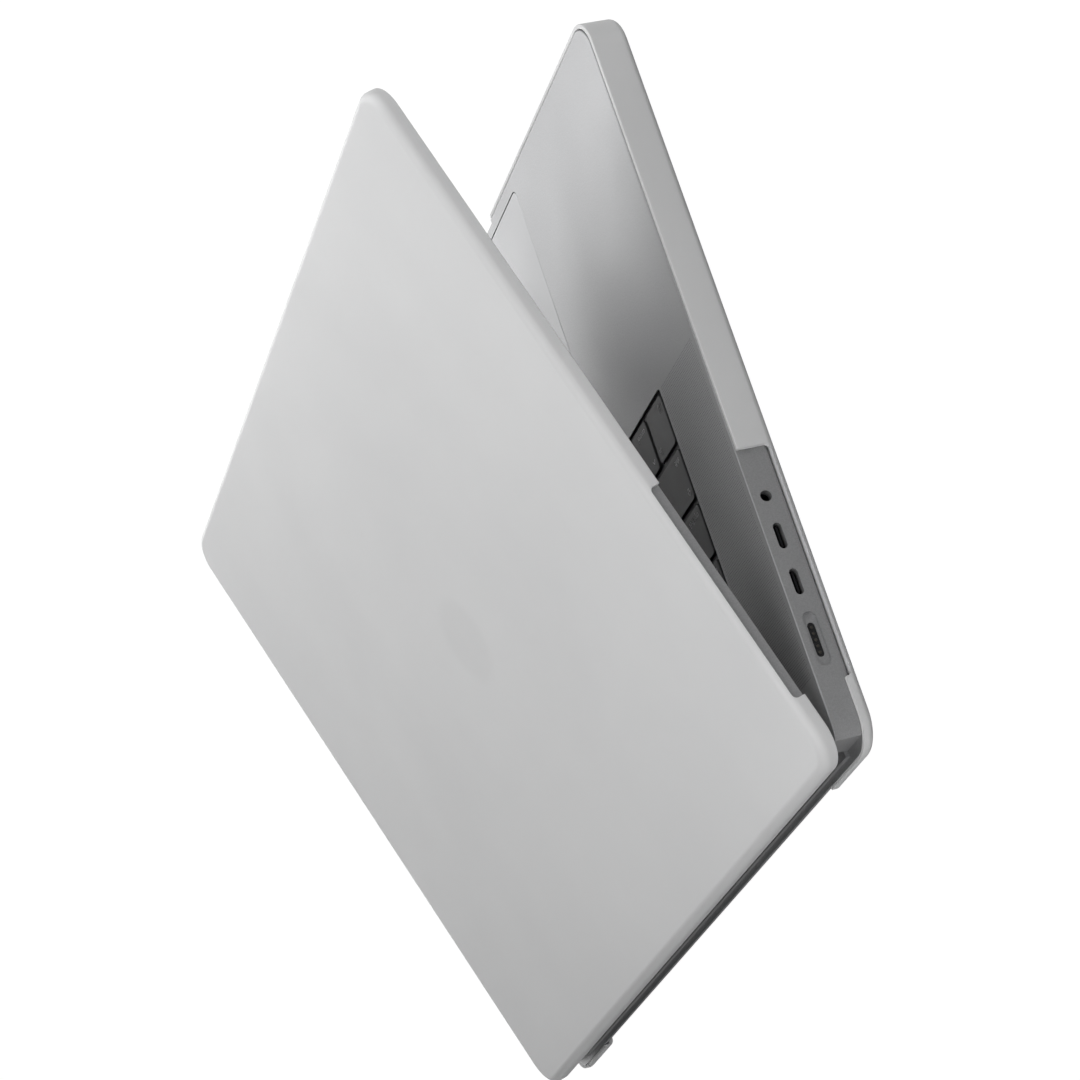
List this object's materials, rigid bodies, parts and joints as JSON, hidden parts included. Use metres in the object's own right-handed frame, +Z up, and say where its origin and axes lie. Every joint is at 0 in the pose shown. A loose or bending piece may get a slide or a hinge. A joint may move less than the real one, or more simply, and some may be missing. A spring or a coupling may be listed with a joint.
{
  "type": "laptop computer",
  "caption": "Laptop computer in a frosted two-piece clip-on shell: flat hinged lid with screen, keyboard, trackpad and side sockets.",
  "frame": {"origin": "on the desk, under the middle of the base", "axes": "+X to the user's right, +Y to the hinge at the rear, +Z up; stored with the lid 16.3 degrees open"},
  "size_m": [0.3592, 0.253, 0.0885],
  "materials": {
    "aluminium_body": "bead-blasted, anodised",
    "aluminium_lid": "bead-blasted, anodised",
    "polished_badge": "polished",
    "frosted_shell": "frosted, slightly see-through",
    "key_plastic": "fine matt",
    "black_web": "matt black",
    "steel_sheet": "plain",
    "scissor_plastic": "plain",
    "screw_steel": "turned",
    "black_rubber": "matt",
    "trackpad_glass": "etched satin",
    "motor_metal": "plain",
    "battery_foil": "black wrap",
    "board": "solder mask",
    "chip": "moulded",
    "copper": "bare",
    "ribbon": "flexible",
    "socket_metal": "plated",
    "socket_plastic": "black",
    "fan_plastic": "black",
    "screen_glass": "polished",
    "screen_panel": "dark"
  },
  "bodies": {
    "base": {"top_case": "aluminium_body", "bottom_cover": "aluminium_body", "bottom_cover_screws": "screw_steel", "rubber_feet": "black_rubber", "keyboard_web": "black_web", "keyboard_backplate": "steel_sheet", "key_scissors": "scissor_plastic", "trackpad_bracket": "steel_sheet", "haptic_motor": "motor_metal", "battery_cells": "battery_foil", "logic_board": "board", "processor": "chip", "heat_pipes": "copper", "fin_stacks": "copper", "display_cable": "ribbon", "base_shell": "frosted_shell", "shell_feet": "black_rubber", "headphone_jack": "socket_plastic", "usb_c_port_front": "socket_metal", "usb_c_port_rear": "socket_metal", "usb_c_port_right": "socket_metal", "magnetic_power_port": "socket_plastic", "hdmi_port": "socket_metal", "card_slot": "socket_metal", "fan_housing_left": "fan_plastic", "fan_housing_right": "fan_plastic", "speaker_left": "fan_plastic", "speaker_right": "fan_plastic", "hinge_bracket_left": "steel_sheet", "hinge_bracket_right": "steel_sheet", "hinge_screws": "screw_steel"},
    "lid": {"display_housing": "aluminium_lid", "display_gasket": "black_rubber", "display_glass": "screen_glass", "display_panel": "screen_panel", "display_board": "board", "webcam": "screen_panel", "lid_badge": "polished_badge", "hinge_cover": "black_web", "antenna_board": "board", "lid_shell": "frosted_shell", "hinge_shaft_left": "screw_steel", "hinge_shaft_right": "screw_steel"},
    "trackpad": {"trackpad": "trackpad_glass"},
    "fan_rotor_left": {"fan_rotor_left": "fan_plastic"},
    "fan_rotor_right": {"fan_rotor_right": "fan_plastic"},
    "key_fn": {"key_fn": "key_plastic"},
    "key_control": {"key_control": "key_plastic"},
    "key_bottom_row": {"key_bottom_row": "key_plastic"},
    "key_space": {"key_space": "key_plastic"},
    "key_arrows": {"key_arrows": "key_plastic"},
    "key_shift_left": {"key_shift_left": "key_plastic"},
    "key_lower_letters": {"key_lower_letters": "key_plastic"},
    "key_caps_lock": {"key_caps_lock": "key_plastic"},
    "key_home_letters": {"key_home_letters": "key_plastic"},
    "key_tab": {"key_tab": "key_plastic"},
    "key_upper_letters": {"key_upper_letters": "key_plastic"},
    "key_number_row": {"key_number_row": "key_plastic"},
    "key_function_row": {"key_function_row": "key_plastic"},
    "key_power": {"key_power": "key_plastic"}
  },
  "joints": [
    {"name": "lid_hinge", "type": "hinge", "parent": "base", "child": "lid", "pos_m": [0, 0.122, 0.0123], "axis": [-1, 0, 0], "range_deg": [-16.3, 115.7]},
    {"name": "trackpad_press", "type": "slide", "parent": "base", "child": "trackpad", "axis": [0, 0, -1], "range_m": [0, 0.00025], "stiffness_N_per_m": 4000, "springref_m": -0.0003},
    {"name": "key_fn_press", "type": "slide", "parent": "base", "child": "key_fn", "axis": [0, 0, -1], "range_m": [0, 0.001], "stiffness_N_per_m": 300, "springref_m": -0.0012},
    {"name": "key_control_press", "type": "slide", "parent": "base", "child": "key_control", "axis": [0, 0, -1], "range_m": [0, 0.001], "stiffness_N_per_m": 300, "springref_m": -0.0012},
    {"name": "key_bottom_row_press", "type": "slide", "parent": "base", "child": "key_bottom_row", "axis": [0, 0, -1], "range_m": [0, 0.001], "stiffness_N_per_m": 300, "springref_m": -0.0012},
    {"name": "key_space_press", "type": "slide", "parent": "base", "child": "key_space", "axis": [0, 0, -1], "range_m": [0, 0.001], "stiffness_N_per_m": 300, "springref_m": -0.0012},
    {"name": "key_arrows_press", "type": "slide", "parent": "base", "child": "key_arrows", "axis": [0, 0, -1], "range_m": [0, 0.001], "stiffness_N_per_m": 300, "springref_m": -0.0012},
    {"name": "key_shift_left_press", "type": "slide", "parent": "base", "child": "key_shift_left", "axis": [0, 0, -1], "range_m": [0, 0.001], "stiffness_N_per_m": 300, "springref_m": -0.0012},
    {"name": "key_lower_letters_press", "type": "slide", "parent": "base", "child": "key_lower_letters", "axis": [0, 0, -1], "range_m": [0, 0.001], "stiffness_N_per_m": 300, "springref_m": -0.0012},
    {"name": "key_caps_lock_press", "type": "slide", "parent": "base", "child": "key_caps_lock", "axis": [0, 0, -1], "range_m": [0, 0.001], "stiffness_N_per_m": 300, "springref_m": -0.0012},
    {"name": "key_home_letters_press", "type": "slide", "parent": "base", "child": "key_home_letters", "axis": [0, 0, -1], "range_m": [0, 0.001], "stiffness_N_per_m": 300, "springref_m": -0.0012},
    {"name": "key_tab_press", "type": "slide", "parent": "base", "child": "key_tab", "axis": [0, 0, -1], "range_m": [0, 0.001], "stiffness_N_per_m": 300, "springref_m": -0.0012},
    {"name": "key_upper_letters_press", "type": "slide", "parent": "base", "child": "key_upper_letters", "axis": [0, 0, -1], "range_m": [0, 0.001], "stiffness_N_per_m": 300, "springref_m": -0.0012},
    {"name": "key_number_row_press", "type": "slide", "parent": "base", "child": "key_number_row", "axis": [0, 0, -1], "range_m": [0, 0.001], "stiffness_N_per_m": 300, "springref_m": -0.0012},
    {"name": "key_function_row_press", "type": "slide", "parent": "base", "child": "key_function_row", "axis": [0, 0, -1], "range_m": [0, 0.001], "stiffness_N_per_m": 300, "springref_m": -0.0012},
    {"name": "key_power_press", "type": "slide", "parent": "base", "child": "key_power", "axis": [0, 0, -1], "range_m": [0, 0.001], "stiffness_N_per_m": 300, "springref_m": -0.0012},
    {"name": "fan_spin_left", "type": "hinge", "parent": "base", "child": "fan_rotor_left", "pos_m": [-0.112, 0.076, 0.0072], "axis": [0, 0, 1], "continuous": true},
    {"name": "fan_spin_right", "type": "hinge", "parent": "base", "child": "fan_rotor_right", "pos_m": [0.112, 0.076, 0.0072], "axis": [0, 0, 1], "continuous": true}
  ]
}
